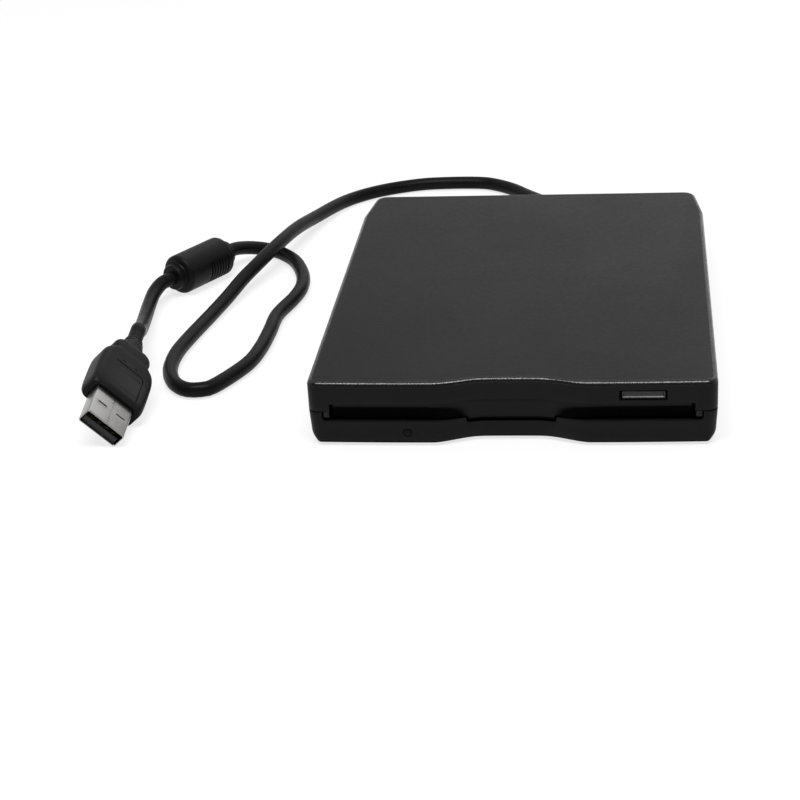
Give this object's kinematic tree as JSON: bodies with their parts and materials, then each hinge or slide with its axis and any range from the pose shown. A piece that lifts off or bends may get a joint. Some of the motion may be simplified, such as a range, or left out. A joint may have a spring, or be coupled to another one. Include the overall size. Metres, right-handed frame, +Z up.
{
  "type": "external floppy disk drive",
  "caption": "Slim black portable floppy disk drive with a sprung slot door, eject key and captive lead that ends in a flat metal-shelled plug.",
  "frame": {"origin": "on the table surface, under the middle of the case", "axes": "+Z up, the slot faces -Y, +X is the right side seen from the slot"},
  "size_m": [0.1677, 0.2032, 0.018],
  "materials": {
    "case_plastic": "fine textured satin black",
    "inner_plastic": "plain black",
    "rubber": "matt black",
    "relief_vinyl": "satin black",
    "moulded_vinyl": "satin black",
    "lens": "smoked gloss",
    "steel": "zinc plated sheet and turned steel",
    "nickel": "nickel plated, lightly brushed",
    "gold": "gold plated",
    "white_resin": "moulded white",
    "grey_resin": "moulded grey",
    "board": "green solder resist"
  },
  "bodies": {
    "drive": {"board_ribbon": "white_resin", "case_screw_left": "steel", "case_screw_right": "steel", "cord_bead_to_plug": "relief_vinyl", "cord_drive_to_bead": "relief_vinyl", "disk_in_switch": "inner_plastic", "drive_board": "board", "drive_chip": "inner_plastic", "eject_spring_left": "steel", "eject_spring_right": "steel", "ferrite_bead": "moulded_vinyl", "guide_rod": "steel", "inner_lead": "grey_resin", "lead_socket": "white_resin", "led_light_pipe": "lens", "lever_spring": "steel", "lid_screw_left": "steel", "lid_screw_right": "steel", "lower_shell": "case_plastic", "mechanism_frame": "steel", "mechanism_lid": "steel", "plug_blade": "white_resin", "plug_contact_1": "gold", "plug_contact_2": "gold", "plug_contact_3": "gold", "plug_contact_4": "gold", "plug_grip": "moulded_vinyl", "plug_shell": "nickel", "rubber_foot_front_left": "rubber", "rubber_foot_front_right": "rubber", "rubber_foot_rear_left": "rubber", "rubber_foot_rear_right": "rubber", "slot_bezel": "inner_plastic", "spindle_stator": "board", "stepper_motor": "steel", "strain_relief": "relief_vinyl", "upper_cover": "case_plastic", "usb_board": "board", "usb_chip": "inner_plastic", "write_protect_switch": "inner_plastic"},
    "door": {"door_flap": "case_plastic", "door_spring": "steel"},
    "eject_slide_body": {"eject_slider": "steel", "eject_button": "case_plastic"},
    "carrier": {"disk_carrier": "steel"},
    "carriage": {"head_carriage": "grey_resin", "lower_head": "white_resin"},
    "head_arm_body": {"upper_head_arm": "grey_resin", "upper_head": "white_resin"},
    "spindle": {"spindle_rotor": "steel"},
    "screw": {"lead_screw": "steel"},
    "lever": {"shutter_lever": "steel"}
  },
  "joints": [
    {"name": "door_hinge", "type": "hinge", "parent": "drive", "child": "door", "pos_m": [0, -0.0669, 0.0152], "axis": [1, 0, 0], "range_deg": [0, 88], "stiffness_Nm_per_rad": 0.0006, "springref_deg": -20.05},
    {"name": "eject_slide", "type": "slide", "parent": "drive", "child": "eject_slide_body", "axis": [0, 1, 0], "range_m": [-0.005, 0]},
    {"name": "carrier_drop", "type": "slide", "parent": "drive", "child": "carrier", "axis": [0, 0, 1], "range_m": [-0.002, 0]},
    {"name": "carriage_slide", "type": "slide", "parent": "drive", "child": "carriage", "axis": [0, 1, 0], "range_m": [-0.0148, 0]},
    {"name": "head_arm", "type": "hinge", "parent": "carriage", "child": "head_arm_body", "pos_m": [0, 0.04625, 0.012], "axis": [-1, 0, 0], "range_deg": [-7.8, 0]},
    {"name": "lead_screw_spin", "type": "hinge", "parent": "drive", "child": "screw", "pos_m": [0.017, 0.04, 0.0078], "axis": [0, 1, 0], "range_deg": [-1421, 0]},
    {"name": "spindle_spin", "type": "hinge", "parent": "drive", "child": "spindle", "pos_m": [0, -0.022, 0.0039], "axis": [0, 0, 1], "continuous": true},
    {"name": "shutter_lever_swing", "type": "hinge", "parent": "drive", "child": "lever", "pos_m": [0.0395, 0.034, 0.0122], "axis": [0, 0, 1], "range_deg": [-58, 0], "stiffness_Nm_per_rad": 0.0008, "springref_deg": 20.05}
  ],
  "couplings": [
    {"joint": "carrier_drop", "follows": "eject_slide", "ratio": 0.4},
    {"joint": "head_arm", "follows": "eject_slide", "rad_per_m": 27.2},
    {"joint": "lead_screw_spin", "follows": "carriage_slide", "rad_per_m": 1675.5}
  ]
}
